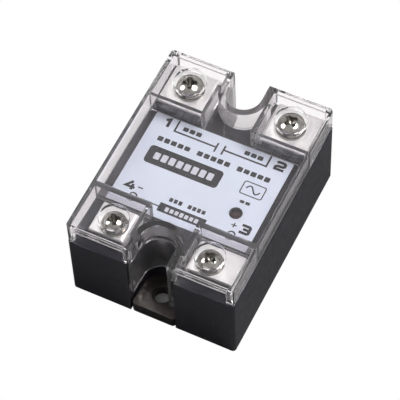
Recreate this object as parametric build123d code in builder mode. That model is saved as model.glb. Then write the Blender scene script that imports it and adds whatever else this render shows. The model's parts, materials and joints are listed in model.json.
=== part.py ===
from build123d import *
import os

# Solid state relay, panel-mount "puck" style. Millimetres, +Z up, base face on Z = 0.
# X runs across the body, Y along it. Inputs 3 and 4 are at the -Y end, outputs 1 and 2 at +Y.

os.makedirs("parts", exist_ok=True)

# ---------------------------------------------------------------- driving dimensions
BODY_LENGTH = 58.4
BODY_WIDTH = 45.0
RIM_HEIGHT = 21.3          # top face of the black housing
CORNER_RADIUS = 1.0
RIM_ROUND = 0.3            # soft edge round the top of the housing
HOLE_PITCH = 47.6          # between the two fixing points
FIXING_RADIUS = 2.35
NOTCH_CENTRE = 24.2        # distance of the notch round's centre from the middle
NOTCH_RADIUS = 6.2

PLATE_THICKNESS = 3.6      # metal base plate
PLATE_HALF = (20.6, 16.2)
TAB_HALF_WIDTH = 6.0
PLATE_GAP = 0.1

CAVITY_HALF = (20.2, 15.9)
CAVITY_TOP = 18.3
BAY_HALF_START = 8.2       # the cavity reaches further out beside each notch
BAY_HALF_END = 20.2
BAY_REACH = 18.6
BAY_FLOOR = 5.0

COVER_TOP = 28.4
COVER_BOTTOM = 21.4
COVER_HALF_WIDTH = 22.4
COVER_WALL = 1.1
SIDE_WALL = 0.9            # the long side walls are thinner
PANEL_TOP = 22.7           # low panel over the label
PANEL_BOTTOM = 21.6
STEP_Y = 14.3              # where the low panel meets the raised terminal boxes
BOX_INNER_X = 6.3
BOX_INNER_REACH = 24.5
LIP_BOTTOM = 26.5
LIP_THICKNESS = 1.0
POST_DEPTH = 1.2
INNER_POST_X = 7.0         # the inner posts run from the liner out to here
OUTER_POST_X = 20.45       # and the outer posts from here to the side
END_LIFT = 1.1             # the cover's lower edge clears the rim towards the ends
LINER_INNER = 4.8
LINER_OUTER = 5.8
COLLAR_OUTER = 6.5
LINER_BOTTOM = 9.5

PAD_TOP = 23.2             # raised plastic pads under the terminal plates
TERMINAL_THICKNESS = 1.0
BEND_RADIUS = 1.4
FLANGE_DROP = 2.6
TERMINAL_TOP = PAD_TOP + TERMINAL_THICKNESS
THREAD_CLEARANCE = 0.05
WASHER_CLEARANCE = 0.15
LEAD_Y = 17.7              # where straps and pins pass down through the pads
LEAD_THICKNESS = 0.8
SPLIT_HALF = 0.35          # half the gap in a spring washer
HEAD_ROUND = 0.55          # share of the head's height that its top edge is rounded by
HEAD_CROSS = (0.9, 1.3)    # width and depth of the cross recess
SHANK_SHORT = 0.5          # the shank stops this far above the pocket's floor

# Outputs take M4 screws, inputs M3.5. "spread" is the screw's distance from the centre line.
OUTPUT = dict(
    spread=14.0, row=22.0, plate=(7.7, 20.4, 16.9, 27.8), pad=(20.8, 16.4, 28.0),
    shank=2.0, head=3.45, head_height=2.0, length=10.0, socket=4.0,
    flat=(3.85, 0.8), spring=(3.5, 1.0), access=4.15, pocket=2.6, lead_width=5.0,
)
INPUT = dict(
    spread=12.9, row=-22.0, plate=(8.4, 18.3, 16.9, 25.4), pad=(19.2, 16.4, 25.6),
    shank=1.75, head=3.1, head_height=2.0, length=9.0, socket=3.5,
    flat=(3.5, 0.6), spring=(3.1, 0.8), access=3.75, pocket=2.35, lead_width=2.0,
)
# The plate of input 3 is as wide as the output plates.
WIDE_INPUT = dict(INPUT, plate=(7.7, 20.2, 16.9, 25.4), pad=(20.6, 16.4, 25.6))
# number, side of the centre line, kind
TERMINALS = [(1, -1, OUTPUT), (2, 1, OUTPUT), (3, 1, WIDE_INPUT), (4, -1, INPUT)]

LABEL_SIZE = (38.0, 28.4)
LABEL_OFFSET = -0.5
LABEL_THICKNESS = 0.15
LABEL_CORNER = 0.4
LED_PLACE = (11.5, -4.9)
LED_RADIUS = 1.5
LED_TOP = 21.5
LED_FLANGE = (1.9, 16.6, 17.6)   # radius, lower and upper face
LED_DOME = 1.2                   # edge radius of the lens
LED_LEAD = (1.0, 0.25)           # distance from the lamp's axis, and half width

SUBSTRATE_TOP = PLATE_THICKNESS + 0.7
COPPER_TOP = SUBSTRATE_TOP + 0.3
CHIP_TOP = COPPER_TOP + 0.4
BOARD_BOTTOM = 13.0
BOARD_TOP = 14.4
RESIN_TOP = 11.0


def end_sign(kind):
    """+1 for the output end, -1 for the input end."""
    return 1 if kind["row"] > 0 else -1


def save(part, label):
    """Name a finished piece and write it."""
    part.label = label
    export_step(part, f"parts/{label}.step")


def span(x_range, y_range, mode=Mode.ADD):
    """A rectangle in the open sketch, given by its two X and two Y limits."""
    x_low, x_high = sorted(x_range)
    y_low, y_high = sorted(y_range)
    with Locations(((x_low + x_high) / 2, (y_low + y_high) / 2)):
        Rectangle(x_high - x_low, y_high - y_low, mode=mode)


def block(x_range, y_range, z_range, mode=Mode.ADD):
    """A box in the open part, given by its limits."""
    limits = [sorted(pair) for pair in (x_range, y_range, z_range)]
    centre = tuple((low + high) / 2 for low, high in limits)
    size = [high - low for low, high in limits]
    with Locations(centre):
        Box(*size, mode=mode)


def notch(radius, mode=Mode.ADD):
    """Both U-shaped notches in the open sketch, round inside and open at the ends."""
    for end in (-1, 1):
        with Locations((0, end * NOTCH_CENTRE)):
            Circle(radius, mode=mode)
        span((-radius, radius), (end * NOTCH_CENTRE, end * BODY_LENGTH), mode)


# ---------------------------------------------------------------- metal base plate
with BuildPart() as base_plate:
    with BuildSketch():
        Rectangle(2 * PLATE_HALF[0], 2 * PLATE_HALF[1])
        Rectangle(2 * TAB_HALF_WIDTH, BODY_LENGTH)
    extrude(amount=PLATE_THICKNESS)
    fillet(base_plate.edges().filter_by(Axis.Z).group_by(Axis.Y)[0], CORNER_RADIUS)
    fillet(base_plate.edges().filter_by(Axis.Z).group_by(Axis.Y)[-1], CORNER_RADIUS)
    with BuildSketch():
        with Locations((0, -HOLE_PITCH / 2), (0, HOLE_PITCH / 2)):
            Circle(FIXING_RADIUS)
        span((-FIXING_RADIUS, FIXING_RADIUS), (HOLE_PITCH / 2, BODY_LENGTH))
    extrude(amount=PLATE_THICKNESS, mode=Mode.SUBTRACT)
save(base_plate.part, "base_plate")

# ---------------------------------------------------------------- black housing
with BuildPart() as housing:
    with BuildSketch():
        RectangleRounded(BODY_WIDTH, BODY_LENGTH, CORNER_RADIUS)
        notch(NOTCH_RADIUS, Mode.SUBTRACT)
    extrude(amount=RIM_HEIGHT)
    fillet(housing.faces().sort_by(Axis.Z)[-1].outer_wire().edges(), RIM_ROUND)
    for number, side, kind in TERMINALS:
        end = end_sign(kind)
        pad_outer, pad_near, pad_far = kind["pad"]
        pad_inner = kind["plate"][0] + TERMINAL_THICKNESS
        pad_y = (end * pad_near, end * pad_far)
        block((side * pad_inner, side * pad_outer), pad_y, (RIM_HEIGHT, PAD_TOP))
    # seat for the base plate, then the cavity above it and its four corner bays
    block((-PLATE_HALF[0] - PLATE_GAP, PLATE_HALF[0] + PLATE_GAP),
          (-PLATE_HALF[1] - PLATE_GAP, PLATE_HALF[1] + PLATE_GAP), (0, PLATE_THICKNESS), Mode.SUBTRACT)
    block((-TAB_HALF_WIDTH - PLATE_GAP, TAB_HALF_WIDTH + PLATE_GAP),
          (-BODY_LENGTH / 2, BODY_LENGTH / 2), (0, PLATE_THICKNESS), Mode.SUBTRACT)
    block((-CAVITY_HALF[0], CAVITY_HALF[0]), (-CAVITY_HALF[1], CAVITY_HALF[1]),
          (PLATE_THICKNESS, CAVITY_TOP), Mode.SUBTRACT)
    for number, side, kind in TERMINALS:
        end = end_sign(kind)
        block((side * BAY_HALF_START, side * BAY_HALF_END), (end * CAVITY_HALF[1], end * BAY_REACH),
              (BAY_FLOOR, CAVITY_TOP), Mode.SUBTRACT)
        # pocket under the screw, and the slot that the strap or pin passes through
        pocket_floor = TERMINAL_TOP - kind["length"]
        with BuildSketch(Plane.XY.offset(pocket_floor)):
            with Locations((side * kind["spread"], kind["row"])):
                Circle(kind["pocket"])
        extrude(amount=PAD_TOP - pocket_floor, mode=Mode.SUBTRACT)
        slot_half = kind["lead_width"] / 2 + PLATE_GAP
        slot_x = side * kind["spread"]
        slot_deep = LEAD_THICKNESS / 2 + PLATE_GAP
        slot_y = (end * LEAD_Y - slot_deep, end * LEAD_Y + slot_deep)
        block((slot_x - slot_half, slot_x + slot_half), slot_y, (CAVITY_TOP, PAD_TOP), Mode.SUBTRACT)
    with BuildSketch(Plane.XY.offset(CAVITY_TOP)):
        with Locations(LED_PLACE):
            Circle(LED_RADIUS + PLATE_GAP)
    extrude(amount=RIM_HEIGHT - CAVITY_TOP, mode=Mode.SUBTRACT)
save(housing.part, "housing")

# ---------------------------------------------------------------- clear touch-guard cover
with BuildPart() as clear_cover:
    cover_end = BODY_LENGTH / 2
    side_wall = (COVER_HALF_WIDTH - SIDE_WALL, COVER_HALF_WIDTH)
    # standing walls: long sides, box sides, collars round the notches and end posts
    with BuildSketch(Plane.XY.offset(COVER_BOTTOM)):
        for side in (-1, 1):
            span((side * side_wall[0], side * side_wall[1]), (-cover_end, cover_end))
        notch(COLLAR_OUTER)
        for number, side, kind in TERMINALS:
            end = end_sign(kind)
            step = (end * STEP_Y, end * (STEP_Y + COVER_WALL))
            box_side = (side * BOX_INNER_X, side * (BOX_INNER_X + COVER_WALL))
            post = (end * (cover_end - POST_DEPTH), end * cover_end)
            span((side * BOX_INNER_X, side * COVER_HALF_WIDTH), step)
            span(box_side, (end * STEP_Y, end * BOX_INNER_REACH))
            span((side * LINER_INNER, side * INNER_POST_X), post)
            span((side * OUTER_POST_X, side * COVER_HALF_WIDTH), post)
    extrude(amount=COVER_TOP - COVER_BOTTOM)
    # roofs of the four terminal boxes, each with a lip over the wire opening
    with BuildSketch(Plane.XY.offset(COVER_TOP - COVER_WALL)):
        for number, side, kind in TERMINALS:
            end = end_sign(kind)
            span((side * BOX_INNER_X, side * COVER_HALF_WIDTH), (end * STEP_Y, end * cover_end))
    extrude(amount=COVER_WALL)
    with BuildSketch(Plane.XY.offset(LIP_BOTTOM)):
        for number, side, kind in TERMINALS:
            end = end_sign(kind)
            lip = (end * (cover_end - LIP_THICKNESS), end * cover_end)
            span((side * BOX_INNER_X, side * COVER_HALF_WIDTH), lip)
    extrude(amount=COVER_TOP - LIP_BOTTOM)
    # low panel over the label, reaching between the boxes to each collar
    with BuildSketch(Plane.XY.offset(PANEL_BOTTOM)):
        Rectangle(2 * COVER_HALF_WIDTH, 2 * STEP_Y)
        Rectangle(2 * BOX_INNER_X, 2 * (NOTCH_CENTRE - 1))
    extrude(amount=PANEL_TOP - PANEL_BOTTOM)
    # liners that reach down inside the housing's notches
    with BuildSketch(Plane.XY.offset(LINER_BOTTOM)):
        notch(LINER_OUTER)
    extrude(amount=COVER_TOP - LINER_BOTTOM)
    with BuildSketch(Plane.XY.offset(LINER_BOTTOM)):
        notch(LINER_INNER)
    extrude(amount=COVER_TOP - LINER_BOTTOM, mode=Mode.SUBTRACT)
    # everything stays inside one rounded outline
    with BuildSketch(Plane.XY.offset(LINER_BOTTOM)):
        RectangleRounded(2 * COVER_HALF_WIDTH, BODY_LENGTH, CORNER_RADIUS)
    extrude(amount=COVER_TOP - LINER_BOTTOM, mode=Mode.INTERSECT)
    # the lower edge rises towards the ends
    for number, side, kind in TERMINALS:
        end = end_sign(kind)
        with BuildSketch(Plane.YZ.offset(side * LINER_OUTER)):
            with BuildLine():
                Polyline(
                    (end * STEP_Y, COVER_BOTTOM), (end * cover_end, COVER_BOTTOM),
                    (end * cover_end, COVER_BOTTOM + END_LIFT), close=True)
            make_face()
        extrude(amount=side * COVER_HALF_WIDTH, mode=Mode.SUBTRACT)
    # access holes over the screws
    with BuildSketch(Plane.XY.offset(COVER_TOP - COVER_WALL)):
        for number, side, kind in TERMINALS:
            with Locations((side * kind["spread"], kind["row"])):
                Circle(kind["access"])
    extrude(amount=COVER_WALL, mode=Mode.SUBTRACT)
save(clear_cover.part, "clear_cover")

# ---------------------------------------------------------------- label and lamp
with BuildPart() as label:
    with BuildSketch(Plane.XY.offset(RIM_HEIGHT)):
        with Locations((LABEL_OFFSET, 0)):
            RectangleRounded(*LABEL_SIZE, LABEL_CORNER)
        with Locations(LED_PLACE):
            Circle(LED_RADIUS + PLATE_GAP, mode=Mode.SUBTRACT)
    extrude(amount=LABEL_THICKNESS)
save(label.part, "label")

with BuildPart() as status_led:
    flange_radius, flange_bottom, flange_top = LED_FLANGE
    with BuildSketch(Plane.XY.offset(flange_bottom)):
        with Locations(LED_PLACE):
            Circle(flange_radius)
    extrude(amount=flange_top - flange_bottom)
    with BuildSketch(Plane.XY.offset(flange_bottom)):
        with Locations(LED_PLACE):
            Circle(LED_RADIUS)
    extrude(amount=LED_TOP - flange_bottom)
    fillet(status_led.faces().sort_by(Axis.Z)[-1].edges(), LED_DOME)
    lead_offset, lead_half = LED_LEAD
    lead_y = (LED_PLACE[1] - lead_half, LED_PLACE[1] + lead_half)
    for lead_x in (LED_PLACE[0] - lead_offset, LED_PLACE[0] + lead_offset):
        block((lead_x - lead_half, lead_x + lead_half), lead_y, (BOARD_TOP, flange_bottom))
save(status_led.part, "status_led")

# ---------------------------------------------------------------- terminals
for number, side, kind in TERMINALS:
    end = end_sign(kind)
    screw_x = side * kind["spread"]
    screw_y = kind["row"]
    inner, outer, near, far = kind["plate"]

    # plate with its inner edge bent down over the side of the pad
    with BuildPart() as terminal_plate:
        with BuildSketch(Plane.XZ.offset(-end * near)):
            with BuildLine():
                Polyline(
                    (side * outer, TERMINAL_TOP), (side * inner, TERMINAL_TOP),
                    (side * inner, TERMINAL_TOP - FLANGE_DROP),
                    (side * (inner + TERMINAL_THICKNESS), TERMINAL_TOP - FLANGE_DROP),
                    (side * (inner + TERMINAL_THICKNESS), PAD_TOP), (side * outer, PAD_TOP), close=True)
            make_face()
        extrude(amount=-end * (far - near))
        long_edges = terminal_plate.edges().filter_by(Axis.Y)
        outside_bend = long_edges.sort_by(lambda edge: side * edge.center().X - edge.center().Z)[0]
        fillet(outside_bend, BEND_RADIUS)
        with Locations((screw_x, screw_y, TERMINAL_TOP)):
            Hole(kind["shank"] + THREAD_CLEARANCE)
    save(terminal_plate.part, f"terminal_plate_{number}")

    # washers stacked on the plate
    flat_radius, flat_thickness = kind["flat"]
    spring_radius, spring_thickness = kind["spring"]
    flat_top = TERMINAL_TOP + flat_thickness
    with BuildPart() as flat_washer:
        with BuildSketch(Plane.XY.offset(TERMINAL_TOP)):
            with Locations((screw_x, screw_y)):
                Circle(flat_radius)
                Circle(kind["shank"] + WASHER_CLEARANCE, mode=Mode.SUBTRACT)
        extrude(amount=flat_thickness)
    save(flat_washer.part, f"flat_washer_{number}")

    head_bottom = flat_top + spring_thickness
    with BuildPart() as spring_washer:
        with BuildSketch(Plane.XY.offset(flat_top)):
            with Locations((screw_x, screw_y)):
                Circle(spring_radius)
                Circle(kind["shank"] + WASHER_CLEARANCE, mode=Mode.SUBTRACT)
            split = (screw_x - SPLIT_HALF, screw_x + SPLIT_HALF)
            span(split, (screw_y, screw_y - 2 * spring_radius), Mode.SUBTRACT)
        extrude(amount=spring_thickness)
    save(spring_washer.part, f"spring_washer_{number}")

    # pan-head screw with a cross recess
    with BuildPart() as terminal_screw:
        with BuildSketch(Plane.XY.offset(head_bottom)):
            with Locations((screw_x, screw_y)):
                Circle(kind["head"])
        extrude(amount=kind["head_height"])
        fillet(terminal_screw.edges().sort_by(Axis.Z)[-1], kind["head_height"] * HEAD_ROUND)
        with BuildSketch(Plane.XY.offset(head_bottom)):
            with Locations((screw_x, screw_y)):
                Circle(kind["shank"])
        extrude(amount=SHANK_SHORT - kind["length"])
        cross_width, cross_depth = HEAD_CROSS
        head_top = head_bottom + kind["head_height"]
        with Locations((screw_x, screw_y, head_top)):
            Box(kind["socket"], cross_width, 2 * cross_depth, mode=Mode.SUBTRACT)
            Box(cross_width, kind["socket"], 2 * cross_depth, mode=Mode.SUBTRACT)
    save(terminal_screw.part, f"terminal_screw_{number}")

# ---------------------------------------------------------------- power stage on the base plate
SUBSTRATE_HALF = (17.5, 9.5)
COPPER_X = (1.0, 16.5)       # each copper area, mirrored to the other side
COPPER_HALF_Y = 8.0
CHIP_SIZE = 9.0
CHIP_CENTRE = (7.5, -2.0)
STRAP_FOOT_Y = (4.0, 7.0)
STRAP_FOOT_GAP = 0.3         # from the edge of the chip
STRAP_ELBOW = 9.0            # height of the strap's horizontal run
CLIP_ROW = 2.5
CLIP_WIDTH = 2.6
CLIP_METAL = 0.4
CLIP_RISE = 1.0              # clearance under the bridge, above the chips
CLIP_CHIP_REACH = (6.0, 9.0) # where a clip lies on its chip, from the centre line
CLIP_FOOT_REACH = (1.6, 2.8) # where it stands on the copper across the line

with BuildPart() as ceramic_substrate:
    block((-SUBSTRATE_HALF[0], SUBSTRATE_HALF[0]), (-SUBSTRATE_HALF[1], SUBSTRATE_HALF[1]),
          (PLATE_THICKNESS, SUBSTRATE_TOP))
save(ceramic_substrate.part, "ceramic_substrate")

with BuildPart() as copper_areas:
    for side in (-1, 1):
        copper_y = (-COPPER_HALF_Y, COPPER_HALF_Y)
        block((side * COPPER_X[0], side * COPPER_X[1]), copper_y, (SUBSTRATE_TOP, COPPER_TOP))
save(copper_areas.part, "copper_areas")

chips = []
for number, side in ((1, -1), (2, 1)):
    with BuildPart() as thyristor_chip:
        with Locations((side * CHIP_CENTRE[0], CHIP_CENTRE[1], (COPPER_TOP + CHIP_TOP) / 2)):
            Box(CHIP_SIZE, CHIP_SIZE, CHIP_TOP - COPPER_TOP)
    save(thyristor_chip.part, f"thyristor_chip_{number}")
    chips.append(thyristor_chip.part)

# each clip joins the top of one chip to the copper under the other
with BuildPart() as cathode_clips:
    bridge_bottom = CHIP_TOP + CLIP_RISE
    bridge_top = bridge_bottom + CLIP_METAL
    foot_start, foot_end = CLIP_FOOT_REACH
    for side, row in ((-1, CHIP_CENTRE[1] - CLIP_ROW), (1, CHIP_CENTRE[1] + CLIP_ROW)):
        width = (row - CLIP_WIDTH / 2, row + CLIP_WIDTH / 2)
        riser = side * CLIP_CHIP_REACH[0]
        leg = -side * (foot_start + CLIP_METAL)
        block((riser, side * CLIP_CHIP_REACH[1]), width, (CHIP_TOP, CHIP_TOP + CLIP_METAL))
        block((riser - side * CLIP_METAL, riser), width, (CHIP_TOP, bridge_top))
        block((riser, leg), width, (bridge_bottom, bridge_top))
        block((-side * foot_start, leg), width, (COPPER_TOP, bridge_top))
        block((-side * foot_start, -side * foot_end), width, (COPPER_TOP, COPPER_TOP + CLIP_METAL))
save(cathode_clips.part, "cathode_clips")

straps = []
for number, side, kind in TERMINALS[:2]:
    half_width = kind["lead_width"] / 2
    strap_x = (side * kind["spread"] - half_width, side * kind["spread"] + half_width)
    foot_x = (side * (CHIP_CENTRE[0] + CHIP_SIZE / 2 + STRAP_FOOT_GAP), side * COPPER_X[1])
    foot_start, foot_end = STRAP_FOOT_Y
    half_metal = LEAD_THICKNESS / 2
    down = (LEAD_Y - half_metal, LEAD_Y + half_metal)
    elbow_top = STRAP_ELBOW + LEAD_THICKNESS
    with BuildPart() as output_strap:
        block(strap_x, down, (STRAP_ELBOW, PAD_TOP))
        block(strap_x, (foot_end, down[1]), (STRAP_ELBOW, elbow_top))
        block(foot_x, (foot_end, foot_end + LEAD_THICKNESS), (COPPER_TOP, elbow_top))
        block(foot_x, (foot_start, foot_end + LEAD_THICKNESS), (COPPER_TOP, COPPER_TOP + LEAD_THICKNESS))
    save(output_strap.part, f"output_strap_{number}")
    straps.append(output_strap.part)

# ---------------------------------------------------------------- circuit board and what it carries
BOARD_HALF_X = 19.6
BOARD_Y = (-18.2, 14.5)
BOARD_GAP = 0.4              # from the board's edge to the cavity wall
GATE_LEAD_RADIUS = 0.3
GATE_CORNER = 3.4            # from the chip's centre to its gate pad, along X and Y
LEG_WIDTH = 0.6

DIP_CENTRE = (-2.0, 5.0)
DIP_HALF = (3.6, 3.2)
DIP_HEIGHT = 3.2
DIP_STANDOFF = 0.3
DIP_LEG_PITCH = 2.54
DIP_LEG = (0.7, 1.4, 0.3)    # how far a leg stands out, its height up the body, its thickness

TRANSISTOR_CENTRE = (-14.0, -4.0)
TRANSISTOR_RADIUS = 2.3
TRANSISTOR_FLAT = 1.35       # the flat is this far from the centre
TRANSISTOR_HEIGHT = 3.6

RESISTOR_CENTRE_X = -10.0
RESISTOR_ROWS = (-13.0, -9.5, 9.8)
RESISTOR_BODY = (1.1, 6.2)   # radius and length
RESISTOR_LIFT = 1.4          # axis above the board
RESISTOR_LEAD_X = 4.0

CAPACITOR_HALF_X = 6.5
CAPACITOR_Y = (-15.0, -8.6)
CAPACITOR_HEIGHT = 4.8
CAPACITOR_CORNER = 0.6

POWER_RESISTOR_Y = 11.5
POWER_RESISTOR_DROP = 2.6    # axis below the board
POWER_RESISTOR_BODY = (2.0, 10.0)
POWER_RESISTOR_LEAD = (0.4, 7.0)   # radius, and distance of its bend from the middle

gate_places = [
    (side * (CHIP_CENTRE[0] + GATE_CORNER), CHIP_CENTRE[1] - GATE_CORNER) for side in (-1, 1)
]
with BuildPart() as gate_leads:
    with BuildSketch(Plane.XY.offset(CHIP_TOP)):
        with Locations(*gate_places):
            Circle(GATE_LEAD_RADIUS)
    extrude(amount=BOARD_BOTTOM - CHIP_TOP)
save(gate_leads.part, "gate_leads")

with BuildPart() as circuit_board:
    with BuildSketch(Plane.XY.offset(BOARD_BOTTOM)):
        span((-BOARD_HALF_X, BOARD_HALF_X), (BOARD_GAP - CAVITY_HALF[1], BOARD_Y[1]))
        for side in (-1, 1):
            span((side * (BAY_HALF_START + BOARD_GAP), side * BOARD_HALF_X), (BOARD_Y[0], 0))
    extrude(amount=BOARD_TOP - BOARD_BOTTOM)
save(circuit_board.part, "circuit_board")

for number, side, kind in TERMINALS[2:]:
    half_width = kind["lead_width"] / 2
    half_metal = LEAD_THICKNESS / 2
    pin_x = (side * kind["spread"] - half_width, side * kind["spread"] + half_width)
    with BuildPart() as input_pin:
        block(pin_x, (-LEAD_Y - half_metal, -LEAD_Y + half_metal), (BOARD_TOP, PAD_TOP))
    save(input_pin.part, f"input_pin_{number}")

with BuildPart() as optocoupler:
    dip_x, dip_y = DIP_CENTRE
    body_bottom = BOARD_TOP + DIP_STANDOFF
    block((dip_x - DIP_HALF[0], dip_x + DIP_HALF[0]), (dip_y - DIP_HALF[1], dip_y + DIP_HALF[1]),
          (body_bottom, body_bottom + DIP_HEIGHT))
    leg_reach, leg_height, leg_metal = DIP_LEG
    shoulder = body_bottom + leg_height
    for leg_side in (-1, 1):
        root = dip_y + leg_side * DIP_HALF[1]
        tip = root + leg_side * leg_reach
        for leg_x in (dip_x - DIP_LEG_PITCH, dip_x, dip_x + DIP_LEG_PITCH):
            leg = (leg_x - LEG_WIDTH / 2, leg_x + LEG_WIDTH / 2)
            block(leg, (root, tip), (shoulder, shoulder + leg_metal))
            block(leg, (tip - leg_side * leg_metal, tip), (BOARD_TOP, shoulder + leg_metal))
save(optocoupler.part, "optocoupler")

with BuildPart() as driver_transistor:
    with BuildSketch(Plane.XY.offset(BOARD_TOP)):
        with Locations(TRANSISTOR_CENTRE):
            Circle(TRANSISTOR_RADIUS)
            with Locations((0, -TRANSISTOR_FLAT - TRANSISTOR_RADIUS)):
                Rectangle(2 * TRANSISTOR_RADIUS, 2 * TRANSISTOR_RADIUS, mode=Mode.SUBTRACT)
    extrude(amount=TRANSISTOR_HEIGHT)
save(driver_transistor.part, "driver_transistor")

with BuildPart() as gate_resistors:
    body_radius, body_length = RESISTOR_BODY
    axis_height = BOARD_TOP + RESISTOR_LIFT
    half_leg = LEG_WIDTH / 2
    lead_ends = (RESISTOR_CENTRE_X - RESISTOR_LEAD_X, RESISTOR_CENTRE_X + RESISTOR_LEAD_X)
    for row in RESISTOR_ROWS:
        lead_y = (row - half_leg, row + half_leg)
        with Locations(Location((RESISTOR_CENTRE_X, row, axis_height), (0, 90, 0))):
            Cylinder(body_radius, body_length)
        block((lead_ends[0] - half_leg, lead_ends[1] + half_leg), lead_y,
              (axis_height - half_leg, axis_height + half_leg))
        for lead_x in lead_ends:
            block((lead_x - half_leg, lead_x + half_leg), lead_y, (BOARD_TOP, axis_height))
save(gate_resistors.part, "gate_resistors")

with BuildPart() as snubber_capacitor:
    block((-CAPACITOR_HALF_X, CAPACITOR_HALF_X), CAPACITOR_Y,
          (BOARD_BOTTOM - CAPACITOR_HEIGHT, BOARD_BOTTOM))
    fillet(snubber_capacitor.edges().filter_by(Axis.Z), CAPACITOR_CORNER)
save(snubber_capacitor.part, "snubber_capacitor")

with BuildPart() as snubber_resistor:
    body_radius, body_length = POWER_RESISTOR_BODY
    lead_radius, lead_bend = POWER_RESISTOR_LEAD
    axis_height = BOARD_BOTTOM - POWER_RESISTOR_DROP
    with Locations(Location((0, POWER_RESISTOR_Y, axis_height), (0, 90, 0))):
        Cylinder(body_radius, body_length)
        Cylinder(lead_radius, 2 * lead_bend)
    lead_y = (POWER_RESISTOR_Y - lead_radius, POWER_RESISTOR_Y + lead_radius)
    for lead_x in (-lead_bend, lead_bend):
        block((lead_x - lead_radius, lead_x + lead_radius), lead_y,
              (axis_height - lead_radius, BOARD_BOTTOM))
save(snubber_resistor.part, "snubber_resistor")

# ---------------------------------------------------------------- resin round the power stage
with BuildPart() as potting_resin:
    block((-CAVITY_HALF[0], CAVITY_HALF[0]), (-CAVITY_HALF[1], CAVITY_HALF[1]),
          (PLATE_THICKNESS, RESIN_TOP))
    for number, side, kind in TERMINALS:
        end = end_sign(kind)
        block((side * BAY_HALF_START, side * BAY_HALF_END), (0, end * BAY_REACH), (BAY_FLOOR, RESIN_TOP))
    buried = [
        ceramic_substrate.part, copper_areas.part, *chips, cathode_clips.part, *straps,
        gate_leads.part, snubber_capacitor.part, snubber_resistor.part,
    ]
    for piece in buried:
        add(piece, mode=Mode.SUBTRACT)
save(potting_resin.part, "potting_resin")
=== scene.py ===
import json
import math
import random

import bmesh
import bpy
from mathutils import Matrix, Vector

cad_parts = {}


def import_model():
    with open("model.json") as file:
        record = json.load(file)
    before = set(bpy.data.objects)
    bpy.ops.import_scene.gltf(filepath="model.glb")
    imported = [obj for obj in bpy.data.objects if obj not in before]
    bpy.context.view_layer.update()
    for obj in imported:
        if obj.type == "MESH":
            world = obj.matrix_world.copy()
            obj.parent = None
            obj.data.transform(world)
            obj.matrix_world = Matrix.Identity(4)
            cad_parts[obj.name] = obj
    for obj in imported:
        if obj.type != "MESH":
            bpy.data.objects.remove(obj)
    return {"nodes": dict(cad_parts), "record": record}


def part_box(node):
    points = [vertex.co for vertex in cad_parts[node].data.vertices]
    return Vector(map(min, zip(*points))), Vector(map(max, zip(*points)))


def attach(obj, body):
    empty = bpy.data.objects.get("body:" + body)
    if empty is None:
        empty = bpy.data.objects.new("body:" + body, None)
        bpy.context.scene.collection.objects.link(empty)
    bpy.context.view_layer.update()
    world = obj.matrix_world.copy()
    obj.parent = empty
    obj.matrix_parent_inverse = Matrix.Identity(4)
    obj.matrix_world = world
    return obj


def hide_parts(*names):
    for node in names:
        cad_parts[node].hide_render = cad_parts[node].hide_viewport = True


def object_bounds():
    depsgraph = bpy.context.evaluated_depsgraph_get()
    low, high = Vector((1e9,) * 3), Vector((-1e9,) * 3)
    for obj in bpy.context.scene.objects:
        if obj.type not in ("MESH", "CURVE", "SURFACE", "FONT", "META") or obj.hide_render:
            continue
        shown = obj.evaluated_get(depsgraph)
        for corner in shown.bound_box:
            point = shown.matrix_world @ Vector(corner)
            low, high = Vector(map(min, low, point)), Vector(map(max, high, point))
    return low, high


# Looks of a panel-mount solid state relay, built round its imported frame.
# Blender works in metres. Sizes in this file are millimetres and pass through MM.
MM = 0.001

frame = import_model()
cad_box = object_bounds()


def place(node):
    """Lowest and highest corner of a CAD node, in millimetres."""
    low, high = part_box(node)
    return low / MM, high / MM


# ================================================================ materials
def principled(name, **sockets):
    """A material with one Principled shader. Constants go straight onto its sockets."""
    made = bpy.data.materials.new(name)
    made.use_nodes = True
    shader = made.node_tree.nodes["Principled BSDF"]
    for socket, value in sockets.items():
        shader.inputs[socket.replace("_", " ")].default_value = value
    return made, made.node_tree, shader


def noise(tree, feature, detail=3.0, stretch=(1.0, 1.0, 1.0)):
    """Noise over the object's own coordinates, with features of about this many millimetres."""
    coordinates = tree.nodes.new("ShaderNodeTexCoord")
    mapping = tree.nodes.new("ShaderNodeMapping")
    mapping.inputs["Scale"].default_value = stretch
    texture = tree.nodes.new("ShaderNodeTexNoise")
    texture.inputs["Scale"].default_value = 1 / (feature * MM)
    texture.inputs["Detail"].default_value = detail
    tree.links.new(coordinates.outputs["Object"], mapping.inputs["Vector"])
    tree.links.new(mapping.outputs["Vector"], texture.inputs["Vector"])
    return texture.outputs["Fac"]


def ramp(tree, factor, low, high, start=0.3, end=0.7):
    """Blends between two colours, or two greys given as bare numbers."""
    node = tree.nodes.new("ShaderNodeValToRGB")
    for element, position, colour in zip(node.color_ramp.elements, (start, end), (low, high)):
        grey = not hasattr(colour, "__len__")
        element.position = position
        element.color = (colour, colour, colour, 1) if grey else (*colour, 1)
    tree.links.new(factor, node.inputs["Fac"])
    return node.outputs["Color"]


def relief(tree, shader, height, depth):
    """Fine bumps of this depth in millimetres."""
    node = tree.nodes.new("ShaderNodeBump")
    node.inputs["Distance"].default_value = depth * MM
    tree.links.new(height, node.inputs["Height"])
    tree.links.new(node.outputs["Normal"], shader.inputs["Normal"])


ROUGH_PATCH = 0.4     # patches of one roughness, as a share of the colour's patches


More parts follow.
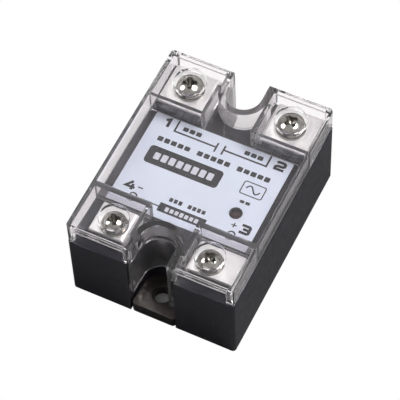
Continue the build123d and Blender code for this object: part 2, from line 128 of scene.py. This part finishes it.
def finish_of(name, dark, light, patch, rough, grain, stretch=(1.0, 1.0, 1.0), **sockets):
    """Two near colours in patches, roughness that wanders between two values, and fine relief.
    patch is in millimetres, and grain is the relief's (feature, depth)."""
    made, tree, shader = principled(name, **sockets)
    colour = ramp(tree, noise(tree, patch), dark, light)
    tree.links.new(colour, shader.inputs["Base Color"])
    roughness = ramp(tree, noise(tree, patch * ROUGH_PATCH, stretch=stretch), *rough)
    tree.links.new(roughness, shader.inputs["Roughness"])
    feature, depth = grain
    relief(tree, shader, noise(tree, feature, stretch=stretch), depth)
    return made


CLEAR_TINT = (0.97, 0.945, 0.96, 1)
CLEAR_INDEX = 1.42    # of refraction
CLEAR_PATCH = 9.0     # millimetres


def clear_plastic(name, haze):
    """Moulded clear plastic. haze is the share of light that it scatters rather than passes."""
    made, tree, shader = principled(
        name, Base_Color=CLEAR_TINT, IOR=CLEAR_INDEX, Transmission_Weight=1 - haze)
    tree.links.new(ramp(tree, noise(tree, CLEAR_PATCH), 0.0, 0.02), shader.inputs["Roughness"])
    return made


def red_lens():
    """The unlit lamp: a dark red, glossy lens."""
    made, tree, shader = principled("red_lens", Roughness=0.22, IOR=1.5, Specular_IOR_Level=0.18)
    tint = ramp(tree, noise(tree, 0.8), (0.016, 0.003, 0.005), (0.028, 0.004, 0.007))
    tree.links.new(tint, shader.inputs["Base Color"])
    return made


# how finishes are drawn out: the first along X, the second along Y
BRUSHED = (1.0, 7.0, 7.0)
ROLLED = (9.0, 1.0, 1.0)
MATERIALS = {
    "housing_black": finish_of("moulded_black", (0.0105, 0.0105, 0.0165), (0.0145, 0.0145, 0.0225), 5.0,
                               (0.32, 0.40), (0.22, 0.006), Specular_IOR_Level=0.45),
    "cover_clear": clear_plastic("clear_acrylic", 0.015),
    "base_metal": finish_of("rolled_alloy", (0.058, 0.052, 0.048), (0.088, 0.080, 0.075), 1.8, (0.36, 0.52),
                            (0.35, 0.02), Metallic=1.0),
    "terminal_metal": finish_of("tin_plate", (0.93, 0.925, 0.91), (0.98, 0.975, 0.965), 4.0, (0.32, 0.40),
                                (1.5, 0.003), stretch=ROLLED, Metallic=0.65),
    "screw_metal": finish_of("nickel_plate", (0.42, 0.405, 0.375), (0.56, 0.545, 0.51), 0.9, (0.10, 0.20),
                             (0.35, 0.004), Metallic=1.0),
    "washer_metal": finish_of("nickel_washer", (0.30, 0.29, 0.27), (0.44, 0.43, 0.40), 0.8, (0.14, 0.24),
                              (0.3, 0.005), Metallic=1.0),
    "label_print": finish_of("silver_sticker", (0.655, 0.72, 0.82), (0.70, 0.765, 0.85), 7.0, (0.40, 0.52),
                             (0.25, 0.003), Specular_IOR_Level=0.3),
    "led_red": red_lens(),
    "ceramic_white": finish_of("fired_alumina", (0.80, 0.78, 0.74), (0.88, 0.86, 0.82), 1.5, (0.5, 0.65),
                               (0.1, 0.005)),
    "copper": finish_of("bare_copper", (0.80, 0.40, 0.26), (0.90, 0.52, 0.36), 1.2, (0.22, 0.40),
                        (0.3, 0.004), stretch=BRUSHED, Metallic=1.0),
    "silicon": finish_of("silicon_die", (0.12, 0.13, 0.16), (0.18, 0.19, 0.22), 2.0, (0.08, 0.16),
                         (0.5, 0.001), Metallic=0.6),
    "tinned_wire": finish_of("tinned_copper", (0.70, 0.70, 0.69), (0.82, 0.82, 0.80), 0.8, (0.22, 0.36),
                             (0.2, 0.004), Metallic=1.0),
    "board_green": finish_of("solder_resist", (0.012, 0.11, 0.035), (0.022, 0.16, 0.055), 0.7, (0.25, 0.40),
                             (0.35, 0.010)),
    "component_black": finish_of("moulded_epoxy", (0.014, 0.014, 0.015), (0.028, 0.028, 0.03), 1.0,
                                 (0.50, 0.65), (0.1, 0.008)),
    "resistor_blue": finish_of("blue_lacquer", (0.10, 0.25, 0.42), (0.16, 0.34, 0.52), 1.2, (0.25, 0.40),
                               (0.5, 0.010)),
    "capacitor_yellow": finish_of("yellow_case", (0.68, 0.42, 0.04), (0.78, 0.52, 0.08), 2.0, (0.35, 0.50),
                                  (0.2, 0.006)),
    "resin_dark": finish_of("poured_resin", (0.012, 0.012, 0.012), (0.03, 0.03, 0.03), 4.0, (0.12, 0.30),
                            (3.0, 0.05)),
}
# the cover's standing walls are less polished than its flats, the steps less still, and least of all the
# far liner and the cut ends of both liners
COVER_WALLS = clear_plastic("clear_walls", 0.03)
COVER_STEPS = clear_plastic("clear_steps", 0.09)
COVER_ENDS = clear_plastic("clear_ends", 0.35)
COVER_FAR_LINER = clear_plastic("clear_far_liner", 0.20)
INK = finish_of("printed_ink", (0.016, 0.017, 0.021), (0.026, 0.027, 0.032), 0.6, (0.55, 0.65),
                (0.1, 0.002), Specular_IOR_Level=0.25)
# painted shade: a darker metal for the inside of the screws' cross recesses
RECESS_PAINTED_SHADE = finish_of("recess_painted_shade", (0.10, 0.095, 0.085), (0.22, 0.21, 0.19), 0.6, (0.25, 0.40),
                   (0.3, 0.004), Metallic=1.0)
REVERSED_PRINT = finish_of("reversed_print", (0.58, 0.60, 0.66), (0.66, 0.68, 0.73), 0.6, (0.40, 0.50),
                           (0.1, 0.002))


# ================================================================ mesh helpers
def piece(name, bm, slot, body, stands_for=(), material=None, smooth=40):
    """Turns a bmesh in millimetres into a piece that rides on a body. smooth is the angle in degrees past
    which an edge stays sharp."""
    bmesh.ops.recalc_face_normals(bm, faces=bm.faces)
    bmesh.ops.scale(bm, vec=(MM, MM, MM), verts=bm.verts)
    mesh = bpy.data.meshes.new(name)
    bm.to_mesh(mesh)
    bm.free()
    made = bpy.data.objects.new(name, mesh)
    bpy.context.scene.collection.objects.link(made)
    mesh.materials.append(material or MATERIALS[slot])
    mesh.shade_smooth()
    mesh.set_sharp_from_angle(angle=math.radians(smooth))
    weighted = made.modifiers.new("flat_faces_stay_flat", "WEIGHTED_NORMAL")
    weighted.keep_sharp = True
    if stands_for:
        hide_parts(*stands_for)
    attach(made, body)
    return made


SEAM_GAP = 0.0005     # points nearer than this are one point
FLAT_ANGLE = 1        # degrees within which neighbouring faces count as flat


def cad_shape(node):
    """A bmesh in millimetres of a CAD node, with its seams closed and its flats merged."""
    bm = bmesh.new()
    bm.from_mesh(frame["nodes"][node].data)
    bmesh.ops.scale(bm, vec=(1 / MM, 1 / MM, 1 / MM), verts=bm.verts)
    bmesh.ops.remove_doubles(bm, verts=bm.verts, dist=SEAM_GAP)
    bmesh.ops.dissolve_limit(bm, angle_limit=math.radians(FLAT_ANGLE), verts=bm.verts, edges=bm.edges)
    return bm


def round_edges(bm, width, segments=2, angle=35, only=None):
    """Rounds every edge that turns by more than this angle, or those between faces that pass a test."""
    limit = math.radians(angle)
    sharp = [edge for edge in bm.edges if edge.is_manifold and edge.calc_face_angle() > limit]
    if only:
        sharp = [edge for edge in sharp if all(only(face) for face in edge.link_faces)]
    bmesh.ops.bevel(bm, geom=sharp, offset=width, offset_type="OFFSET", segments=segments, profile=0.5,
                    affect="EDGES", clamp_overlap=False)
    return bm


NARROWEST_ROUNDED = 0.25


def wide(face):
    """True when a face is broad enough to have its edges rounded. Twice the area over the perimeter is a
    long strip's width."""
    return 2 * face.calc_area() / face.calc_perimeter() > NARROWEST_ROUNDED


def skin(bm, rings, closed_rings=True, closed_path=False, caps=True):
    """Joins rings of points, each the same length, with quads, and caps the two ends."""
    rows = [[bm.verts.new(point) for point in ring] for ring in rings]
    count = len(rows[0])
    pairs = list(zip(rows, rows[1:]))
    if closed_path:
        pairs.append((rows[-1], rows[0]))
    for first, second in pairs:
        for i in range(count if closed_rings else count - 1):
            j = (i + 1) % count
            bm.faces.new((first[i], first[j], second[j], second[i]))
    if caps and not closed_path:
        bm.faces.new(rows[0])
        bm.faces.new(reversed(rows[-1]))
    return rows


def polar(centre, radius, angle, height):
    """The point at this radius and angle round a vertical axis through centre."""
    return centre[0] + radius * math.cos(angle), centre[1] + radius * math.sin(angle), height


def turned(profile, centre, steps=64):
    """A solid of revolution about the vertical through centre. profile is (radius, height) points."""
    bm = bmesh.new()
    rings = []
    for step in range(steps):
        angle = 2 * math.pi * step / steps
        rings.append([polar(centre, radius, angle, height) for radius, height in profile])
    open_profile = profile[0][0] == 0 and profile[-1][0] == 0
    skin(bm, rings, closed_rings=not open_profile, closed_path=True, caps=False)
    bmesh.ops.remove_doubles(bm, verts=bm.verts, dist=1e-6)
    return bm


def combined(first, second, operation):
    """Union or difference of two closed bmeshes."""
    objects = []
    for bm in (first, second):
        bmesh.ops.recalc_face_normals(bm, faces=bm.faces)
        mesh = bpy.data.meshes.new("operand")
        bm.to_mesh(mesh)
        bm.free()
        objects.append(bpy.data.objects.new("operand", mesh))
        bpy.context.scene.collection.objects.link(objects[-1])
    modifier = objects[0].modifiers.new("combine", "BOOLEAN")
    modifier.operation = operation
    modifier.object = objects[1]
    modifier.solver = "EXACT"
    graph = bpy.context.evaluated_depsgraph_get()
    result = bmesh.new()
    result.from_mesh(objects[0].evaluated_get(graph).to_mesh())
    for thing in objects:
        mesh = thing.data
        bpy.data.objects.remove(thing)
        bpy.data.meshes.remove(mesh)
    return result


# ================================================================ moulded and stamped parts
SQUARE_EDGE = 50      # degrees: an edge that turns by more than this was moulded square
HOUSING_ROUND = 0.06
COVER_ROUND = 0.10
PLATE_ROUND = 0.25
LABEL_ROUND = 0.04
TERMINAL_ROUND = 0.14

piece("housing_shell", round_edges(cad_shape("housing"), HOUSING_ROUND, angle=SQUARE_EDGE, only=wide),
      "housing_black", "relay_body", ["housing"])

LABEL_HIGH = place("label")[1]
STEPS_END = LABEL_HIGH.y + 2      # the steps up to the terminal boxes are nearer the middle than this
LINER_REACH = 8.5                 # the liners and the posts beside them, each way from the centre line
AT_THE_END = 0.05
FACING = 0.9                      # cosine above which a face counts as square to an axis
WALLS, STEPS, ENDS, FAR_LINER = 1, 2, 3, 4


def guard_cover():
    """The clear cover, with the finish of each face chosen by which way it looks and where it is."""
    end = place("clear_cover")[1].y
    bm = round_edges(cad_shape("clear_cover"), COVER_ROUND, segments=1, angle=SQUARE_EDGE, only=wide)
    bm.normal_update()
    for face in bm.faces:
        middle = face.calc_center_median()
        faces_y = abs(face.normal.y) > FACING
        faces_z = abs(face.normal.z) > FACING
        if middle.y > STEPS_END and abs(middle.x) < LINER_REACH and not faces_z:
            face.material_index = FAR_LINER
        elif faces_y and abs(middle.y) > end - AT_THE_END and middle.z < LABEL_HIGH.z:
            face.material_index = ENDS
        elif faces_y and abs(middle.y) < STEPS_END:
            face.material_index = STEPS
        elif abs(face.normal.z) < 0.5:
            face.material_index = WALLS
    made = piece("guard_cover", bm, "cover_clear", "cover", ["clear_cover"], smooth=22)
    for material in (COVER_WALLS, COVER_STEPS, COVER_ENDS, COVER_FAR_LINER):
        made.data.materials.append(material)


guard_cover()
piece("mounting_plate", round_edges(cad_shape("base_plate"), PLATE_ROUND, 3), "base_metal", "relay_body",
      ["base_plate"])

# ================================================================ terminals
# shank radius, thread pitch and reach of the cross recess of the two screw sizes
M4 = dict(shank=2.0, pitch=0.7, recess=2.1)
M3_5 = dict(shank=1.75, pitch=0.6, recess=1.9)
# each screw's size, and the angle in degrees that its recess was left at
TERMINALS = {1: (M4, 24), 2: (M4, 52), 3: (M3_5, 70), 4: (M3_5, 33)}
WASHER_CLEARANCE = 0.15


def flat_washer(number):
    """A stamped ring, more rounded on its upper outer edge than elsewhere."""
    low, high = place(f"flat_washer_{number}")
    centre = (low + high) / 2
    size, _ = TERMINALS[number]
    outer = (high.x - low.x) / 2
    inner = size["shank"] + WASHER_CLEARANCE
    cut = 0.12
    upper_cut = cut * 1.6
    profile = [
        (inner, low.z + cut), (inner + cut, low.z), (outer - cut, low.z), (outer, low.z + cut),
        (outer, high.z - upper_cut), (outer - upper_cut, high.z), (inner + cut, high.z),
        (inner, high.z - cut),
    ]
    piece(f"washer_flat_{number}", turned(profile, centre), "washer_metal", f"washers_{number}",
          [f"flat_washer_{number}"])


def spring_washer(number):
    """A split ring whose two ends stand a little apart in height."""
    low, high = place(f"spring_washer_{number}")
    size, _ = TERMINALS[number]
    outer = (high.x - low.x) / 2
    centre = ((low.x + high.x) / 2, high.y - outer)
    inner = size["shank"] + WASHER_CLEARANCE
    rise = 0.16
    thick = high.z - low.z - rise
    cut = 0.1
    steps = 72
    half_gap = math.radians(9)
    slant = half_gap * 0.8
    bm = bmesh.new()
    rings = []
    for step in range(steps + 1):
        share = step / steps
        base = low.z + rise * share
        section = [
            (inner, base + cut), (inner + cut, base), (outer - cut, base), (outer, base + cut),
            (outer, base + thick - cut), (outer - cut, base + thick), (inner + cut, base + thick),
            (inner, base + thick - cut),
        ]
        ring = []
        for radius, height in section:
            # the ends are cut on a slant, so each point's angle leans with its height
            lean = slant * ((height - base) / thick - 0.5)
            angle = -math.pi / 2 + half_gap + lean + share * (2 * math.pi - 2 * half_gap)
            ring.append(polar(centre, radius, angle, height))
        rings.append(ring)
    skin(bm, rings)
    piece(f"washer_spring_{number}", bm, "washer_metal", f"washers_{number}",
          [f"spring_washer_{number}"])


HEAD_WALL = 0.3       # share of the head's height that is upright


def pan_head(radius, bottom, top, centre):
    """A low wall with small cut edges, under a spherical cap."""
    wall_top = bottom + HEAD_WALL * (top - bottom)
    rise = top - wall_top
    ball = (radius ** 2 + rise ** 2) / (2 * rise)
    rim_angle = math.asin(radius / ball)
    cut = 0.12
    profile = [(0, bottom), (radius - cut, bottom), (radius, bottom + cut), (radius, wall_top - cut),
               (radius - cut / 4, wall_top)]
    steps = 16
    for step in range(1, steps + 1):
        angle = rim_angle * (1 - step / steps)
        profile.append((ball * math.sin(angle), top - ball * (1 - math.cos(angle))))
    return turned(profile, centre, 96)


def threaded_shank(radius, bottom, top, pitch, centre):
    """A shank whose radius follows a helix of this pitch, tapered over its last turn."""
    around = 32
    per_turn = 6
    depth = 0.54 * pitch
    tip = 0.72
    crest_width = 1.25
    rows = int((top - bottom) / pitch * per_turn)
    rings = []
    for row in range(rows + 1):
        height = bottom + (top - bottom) * row / rows
        taper = min(1.0, tip + (1 - tip) * (height - bottom) / pitch)
        ring = []
        for step in range(around):
            angle = 2 * math.pi * step / around
            phase = (height / pitch - step / around) % 1
            crest = 1 - abs(2 * phase - 1)
            local = (radius - depth * (1 - min(1.0, crest * crest_width))) * taper
            ring.append(polar(centre, local, angle, height))
        rings.append(ring)
    bm = bmesh.new()
    skin(bm, rings)
    return bm


def cross_cutter(reach, top, depth, centre, turn):
    """The tapered four-winged punch that leaves a cross recess."""
    levels = [
        # height, reach of a wing, half width of a wing, half width of the centre
        (top + 0.4, reach * 1.06, 0.56, 0.86),
        (top - depth * 0.05, reach, 0.50, 0.78),
        (top - depth * 0.62, reach * 0.60, 0.34, 0.52),
        (top - depth, reach * 0.16, 0.12, 0.16),
    ]
    rings = []
    for height, wing, half, heart in levels:
        ring = []
        for quarter in range(4):
            turned_by = Matrix.Rotation(math.radians(turn) + quarter * math.pi / 2, 2)
            for corner in ((wing, -half), (wing, half), (heart, heart)):
                x, y = turned_by @ Vector(corner)
                ring.append((centre[0] + x, centre[1] + y, height))
        rings.append(ring)
    bm = bmesh.new()
    skin(bm, rings)
    return bm


SHANK_INSET = 0.01    # the crests of the thread stay this far inside the CAD shank
SHANK_OVERLAP = 0.3   # the shank runs this far up into the head, so that the two join
RECESS_DEPTH = 0.82   # of the head's height
RECESS_SHADE = 0.35   # below this share of the head's height from its top, everything in the recess gets the painted shade


def terminal_screw(number):
    """A pan-head screw with a real thread and a cross recess, whose inner faces carry painted shade."""
    low, high = place(f"terminal_screw_{number}")
    centre = (low + high) / 2
    size, turn = TERMINALS[number]
    head_bottom = place(f"spring_washer_{number}")[1].z
    head_height = high.z - head_bottom
    head = pan_head((high.x - low.x) / 2, head_bottom, high.z, centre)
    shank = threaded_shank(
        size["shank"] - SHANK_INSET, low.z, head_bottom + SHANK_OVERLAP, size["pitch"], centre)
    solid = combined(head, shank, "UNION")
    cutter = cross_cutter(size["recess"], high.z, head_height * RECESS_DEPTH, centre, turn)
    cut = combined(solid, cutter, "DIFFERENCE")
    # the recess walls, and everything deep in it, get the darker metal that is painted shade
    deep = high.z - head_height * RECESS_SHADE
    for face in cut.faces:
        middle = face.calc_center_median()
        inside = (middle.xy - centre.xy).length < size["recess"] * 1.05
        if inside and middle.z > head_bottom and (face.normal.z < 0.8 or middle.z < deep):
            face.material_index = 1
    made = piece(f"screw_{number}", cut, "screw_metal", f"screw_{number}", [f"terminal_screw_{number}"])
    made.data.materials.append(RECESS_PAINTED_SHADE)


for number in TERMINALS:
    plate = round_edges(cad_shape(f"terminal_plate_{number}"), TERMINAL_ROUND, 3)
    piece(f"terminal_{number}", plate, "terminal_metal", "relay_body", [f"terminal_plate_{number}"])
    flat_washer(number)
    spring_washer(number)
    terminal_screw(number)

# ================================================================ label
INK_THICKNESS = 0.012
HAIR = 0.0004         # how much thicker each mark is than the last
HAIR_STEPS = 8        # after which the thickness starts again
piece("label_sheet", round_edges(cad_shape("label"), LABEL_ROUND), "label_print", "relay_body", ["label"])


def rounded_outline(x_range, y_range, corner, steps=6):
    """Corner-rounded rectangle as a list of (x, y)."""
    outline = []
    corners = [
        (x_range[1] - corner, y_range[1] - corner, 0), (x_range[0] + corner, y_range[1] - corner, 90),
        (x_range[0] + corner, y_range[0] + corner, 180), (x_range[1] - corner, y_range[0] + corner, 270),
    ]
    for x, y, start in corners:
        for step in range(steps + 1):
            angle = math.radians(start + 90 * step / steps)
            outline.append((x + corner * math.cos(angle), y + corner * math.sin(angle)))
    return outline


def stroke_outline(points, width, closed=False):
    """Both sides of a line of this width, mitred at its corners."""
    points = [Vector(point) for point in points]
    count = len(points)
    sides = ([], [])
    for i, point in enumerate(points):
        before = points[i - 1] if i or closed else None
        after = points[(i + 1) % count] if i < count - 1 or closed else None
        ahead = (after - point).normalized() if after is not None else (point - before).normalized()
        back = (point - before).normalized() if before is not None else ahead
        normal = Vector((-(ahead + back).y, (ahead + back).x)).normalized()
        reach = width / 2 / max(0.3, normal.dot(Vector((-ahead.y, ahead.x))))
        sides[0].append(point + normal * reach)
        sides[1].append(point - normal * reach)
    return sides


class Print:
    """Flat printing on the label: every mark is a thin closed slab, lift higher than plain ink. Each is a
    hair thicker than the one before, so that crossing marks don't coincide."""

    def __init__(self, lift=0.0):
        self.bm = bmesh.new()
        self.count = 0
        self.lift = lift

    def next_top(self):
        top = LABEL_HIGH.z + INK_THICKNESS + self.lift + HAIR * (self.count % HAIR_STEPS)
        self.count += 1
        return top

    def slab(self, outline):
        """A filled outline."""
        bottom = LABEL_HIGH.z
        top = self.next_top()
        skin(self.bm, [[(x, y, bottom) for x, y in outline], [(x, y, top) for x, y in outline]])

    def line(self, points, width, closed=False):
        """A line of this width through the points."""
        left, right = stroke_outline(points, width, closed)
        if not closed:
            self.slab([tuple(p) for p in left] + [tuple(p) for p in reversed(right)])
            return
        bottom = LABEL_HIGH.z
        top = self.next_top()
        rings = [
            [(a.x, a.y, bottom), (b.x, b.y, bottom), (b.x, b.y, top), (a.x, a.y, top)]
            for a, b in zip(left, right)
        ]
        skin(self.bm, rings, closed_path=True)

    def word(self, centre, letters, size, gap, seed):
        """A stand-in for a line of small print: plain blocks, one for each letter, and no lettering."""
        dice = random.Random(seed)
        width, height = size
        total = letters * width + (letters - 1) * gap
        x = centre[0] - total / 2
        for _ in range(letters):
            tall = height * dice.uniform(0.88, 1.0)
            y = centre[1] - tall / 2
            self.slab(rounded_outline((x, x + width), (y, y + tall), width * 0.16, 3))
            x += width + gap


def glyph_lines(character):
    """The strokes of a wide, plain numeral or sign, in a box 1 wide and 1 high."""
    return {
        "1": [[(0.12, 0.70), (0.62, 0.91), (0.62, 0.0)]],
        "2": [[(0.08, 0.80), (0.22, 0.91), (0.78, 0.91), (0.91, 0.80), (0.91, 0.58), (0.78, 0.48),
               (0.22, 0.44), (0.09, 0.34), (0.09, 0.09), (0.98, 0.09)]],
        "3": [[(0.08, 0.91), (0.80, 0.91), (0.92, 0.80), (0.92, 0.60), (0.80, 0.50), (0.30, 0.50)],
              [(0.60, 0.50), (0.80, 0.50), (0.93, 0.40), (0.93, 0.20), (0.80, 0.09), (0.06, 0.09)]],
        "4": [[(0.62, 1.0), (0.10, 0.32), (1.0, 0.32)], [(0.72, 0.70), (0.72, 0.0)]],
        "+": [[(0.0, 0.5), (1.0, 0.5)], [(0.5, 0.0), (0.5, 1.0)]],
        "-": [[(0.0, 0.5), (1.0, 0.5)]],
    }[character]


def glyph(printing, character, centre, size, width):
    """Prints one numeral or sign, of this size and stroke width."""
    for line in glyph_lines(character):
        points = [
            (centre[0] + (x - 0.5) * size[0], centre[1] + (y - 0.5) * size[1]) for x, y in line
        ]
        printing.line(points, width)


def circle(centre, radius, steps=28):
    """A ring of points."""
    angles = [2 * math.pi * i / steps for i in range(steps)]
    return [polar(centre, radius, angle, 0)[:2] for angle in angles]


# where things are on the label, as (x, y) or as two limits
MIDDLE_X = -0.3
LAMP = (11.5, -4.9)
LAMP_SHADE_RING = 1.62      # radius of a dark ink ring that is painted shade, standing for the shadowed gap round the lamp
PLATE_X = (-16.3, 3.9)
PLATE_Y = (-0.6, 4.8)
INPUT_BOX_X = (-6.6, 6.0)
INPUT_BOX_Y = (-12.3, -9.7)
SIGN_X = (9.6, 15.4)
SIGN_Y = (1.0, 4.8)

# terminal numbers and polarity: centre, size and stroke width
GLYPHS = {
    "1": ((-15.5, 12.4), (2.1, 2.7), 0.80),
    "2": ((15.6, 12.2), (2.7, 2.6), 0.76),
    "3": ((15.6, -8.3), (2.7, 2.6), 0.76),
    "4": ((-15.7, -8.3), (2.7, 2.5), 0.70),
    "+": ((12.6, -8.2), (1.4, 1.4), 0.34),
    "-": ((-13.0, -8.1), (1.4, 1.4), 0.36),
}
# stand-ins for words: centre, number of letters, size of a letter, gap between letters, seed
CIRCUIT_WORDS = [
    ((-8.7, 12.3), 3, (1.45, 1.35), 0.35, 3),
    ((8.3, 12.3), 3, (1.45, 1.35), 0.35, 4),
]
TITLE_WORDS = [
    ((-11.4, 7.2), 5, (1.45, 1.45), 0.42, -6),
    ((-0.4, 7.2), 5, (1.45, 1.45), 0.42, 5),
    ((10.6, 7.2), 5, (1.45, 1.45), 0.42, 15),
]
SMALL_WORDS = [
    ((-3.3, -8.1), 3, (0.95, 1.25), 0.3, 11),
    ((2.4, -8.1), 4, (0.95, 1.25), 0.3, 12),
    ((12.2, -1.2), 2, (1.2, 0.9), 0.3, 13),
]
REVERSED_WORDS = [
    ((-6.2, 2.1), 8, (1.55, 2.3), 0.55, 21),
    ((-0.3, -11.1), 7, (0.95, 1.3), 0.38, 22),
]


def output_circuit(printing):
    """A bracket from each output terminal to an open contact."""
    bar_y = 10.7
    contact_x = 1.0
    bracket_x = 12.7
    bracket_top = LABEL_HIGH.y - 0.1
    width = 0.48
    for side in (-1, 1):
        near = MIDDLE_X + side * contact_x
        far = MIDDLE_X + side * bracket_x
        printing.line([(near, bar_y), (far, bar_y), (far, bracket_top)], width)
        printing.line([(near, bar_y - 1.5), (near, bar_y + 1.4)], width)


def input_circuit(printing):
    """A ring at each input terminal, wired to the box between them."""
    wire_y = -11.0
    spread = 13.4
    radius = 0.95
    wire_start = 1.0
    for side, box_end in zip((-1, 1), INPUT_BOX_X):
        ring_x = MIDDLE_X + side * spread
        printing.line(circle((ring_x, wire_y), radius), 0.42, closed=True)
        printing.line([(ring_x - side * wire_start, wire_y), (box_end, wire_y)], 0.36)


def framed_wave(printing):
    """A plain alternating-current sign in a frame, where a conformity mark would be."""
    printing.line(rounded_outline(SIGN_X, SIGN_Y, 0.5), 0.3, closed=True)
    start, length, height = 10.6, 3.8, 0.95
    middle_y = sum(SIGN_Y) / 2
    steps = 20
    wave = [
        (start + length * t / steps, middle_y + height * math.sin(2 * math.pi * t / steps))
        for t in range(steps + 1)
    ]
    printing.line(wave, 0.38)


def label_printing():
    """All the dark ink, with a ring of painted shade round the lamp among it, and over it the light print
    on the rating plate and the input box.
    """
    ink = Print()
    for character, (centre, size, width) in GLYPHS.items():
        glyph(ink, character, centre, size, width)
    output_circuit(ink)
    for word in CIRCUIT_WORDS + TITLE_WORDS + SMALL_WORDS:
        ink.word(*word)
    # painted shade: a dark ring round the lamp for the shadowed gap between lens and label
    ink.line(circle(LAMP, LAMP_SHADE_RING), 0.2, closed=True)
    ink.slab(rounded_outline(PLATE_X, PLATE_Y, 1.0))
    ink.slab(rounded_outline(INPUT_BOX_X, INPUT_BOX_Y, 0.15))
    input_circuit(ink)
    framed_wave(ink)
    piece("label_ink", ink.bm, "label_print", "relay_body", material=INK)
    light = Print(lift=0.006)
    for word in REVERSED_WORDS:
        light.word(*word)
    piece("label_reversed_print", light.bm, "label_print", "relay_body", material=REVERSED_PRINT)


label_printing()

# ================================================================ nodes that stay as they are
carried = {part["node"]: part["material_slot"] for part in frame["record"]["subparts"]}
for node, thing in frame["nodes"].items():
    if not thing.hide_render:
        thing.data.materials.clear()
        thing.data.materials.append(MATERIALS[carried[node]])

# ================================================================ studio
# where the camera looks, from which side and how high, how it is tilted, and from how far
TARGET = Vector((-0.24, -1.20, 15.0)) * MM
AZIMUTH = math.radians(28.31)
ELEVATION = math.radians(56.95)
ROLL = math.radians(-2.81)
DISTANCE = 552.0 * MM
FOCAL_LENGTH = 199.17     # of a camera with a sensor this wide
SENSOR_WIDTH = 36.0


def camera():
    level = math.cos(ELEVATION)
    back = Vector((math.sin(AZIMUTH) * level, -math.cos(AZIMUTH) * level, math.sin(ELEVATION)))
    data = bpy.data.cameras.new("camera")
    data.lens = FOCAL_LENGTH
    data.sensor_width = SENSOR_WIDTH
    made = bpy.data.objects.new("camera", data)
    bpy.context.scene.collection.objects.link(made)
    turn = (-back).to_track_quat("-Z", "Y").to_matrix() @ Matrix.Rotation(ROLL, 3, "Z")
    made.matrix_world = Matrix.Translation(TARGET + back * DISTANCE) @ turn.to_4x4()
    data.clip_start = 0.01
    data.clip_end = 10.0
    bpy.context.scene.camera = made


def softbox(name, spot, width, watts):
    """A round area light at spot, aimed at the middle of the relay."""
    data = bpy.data.lights.new(name, "AREA")
    data.shape = "ELLIPSE"
    data.size = width * MM
    data.size_y = width * MM
    data.energy = watts
    made = bpy.data.objects.new(name, data)
    bpy.context.scene.collection.objects.link(made)
    made.location = Vector(spot) * MM
    aim = Vector((0, 0, 15)) * MM
    made.rotation_euler = (aim - made.location).to_track_quat("-Z", "Y").to_euler()


CORNERS = ((-1, -1), (1, -1), (1, 1), (-1, 1))
FLOOR_HALF = 2000.0
SHADE_INSET = 3.0         # the patch of painted shade stays this far inside the relay's outline
FLOOR_DROP = 0.02         # below the base face, so that the two don't coincide


def table_surface():
    """White where it is seen directly or through the clear cover, and grey card to anything that mirrors
    it, as with flags round a product shot."""
    table, tree, card = principled("floor_table", Roughness=0.9, Specular_IOR_Level=0.0)
    tree.links.new(ramp(tree, noise(tree, 400.0), 0.125, 0.135), card.inputs["Base Color"])
    glow = tree.nodes.new("ShaderNodeEmission")
    path = tree.nodes.new("ShaderNodeLightPath")
    seen = tree.nodes.new("ShaderNodeMath")
    seen.operation = "MAXIMUM"
    tree.links.new(path.outputs["Is Camera Ray"], seen.inputs[0])
    tree.links.new(path.outputs["Is Transmission Ray"], seen.inputs[1])
    mix = tree.nodes.new("ShaderNodeMixShader")
    tree.links.new(seen.outputs[0], mix.inputs["Fac"])
    tree.links.new(card.outputs[0], mix.inputs[1])
    tree.links.new(glow.outputs[0], mix.inputs[2])
    tree.links.new(mix.outputs[0], tree.nodes["Material Output"].inputs["Surface"])
    return table


def painted_shade_surface():
    """Painted shade: the grey that the table is given under the relay, in place of its glow."""
    shade, tree, shader = principled("floor_painted_shade", Roughness=0.9, Specular_IOR_Level=0.0)
    tree.links.new(ramp(tree, noise(tree, 40.0), 0.52, 0.60), shader.inputs["Base Color"])
    return shade


def floor():
    """A pale light table, with painted shade as a grey patch under the relay."""
    bm = bmesh.new()
    half_x = cad_box[1].x - SHADE_INSET * MM
    half_y = cad_box[1].y - SHADE_INSET * MM
    reach = FLOOR_HALF * MM
    outer = [bm.verts.new((side * reach, end * reach, 0)) for side, end in CORNERS]
    inner = [bm.verts.new((side * half_x, end * half_y, 0)) for side, end in CORNERS]
    for i in range(4):
        j = (i + 1) % 4
        bm.faces.new((outer[i], outer[j], inner[j], inner[i]))
    # the patch under the relay is painted shade, grey card where the table would otherwise glow
    under = bm.faces.new(inner)
    under.material_index = 1
    mesh = bpy.data.meshes.new("floor")
    bm.to_mesh(mesh)
    bm.free()
    mesh.materials.append(table_surface())
    mesh.materials.append(painted_shade_surface())
    made = bpy.data.objects.new("floor", mesh)
    bpy.context.scene.collection.objects.link(made)
    made.location.z = cad_box[0].z - FLOOR_DROP * MM


HORIZON = 0.32
OVERHEAD = 0.46


def world():
    """Brighter overhead than at the horizon."""
    made = bpy.data.worlds.new("studio")
    bpy.context.scene.world = made
    made.use_nodes = True
    tree = made.node_tree
    coordinates = tree.nodes.new("ShaderNodeTexCoord")
    split = tree.nodes.new("ShaderNodeSeparateXYZ")
    tree.links.new(coordinates.outputs["Generated"], split.inputs["Vector"])
    tone = ramp(tree, split.outputs["Z"], HORIZON, OVERHEAD, 0.05, 0.9)
    tree.links.new(tone, tree.nodes["Background"].inputs["Color"])


bpy.context.scene.view_settings.view_transform = "Standard"
camera()
world()
floor()
softbox("key_box", (205, 136, 570), width=260, watts=5.0)
softbox("left_box", (-410, -80, 450), width=230, watts=1.2)
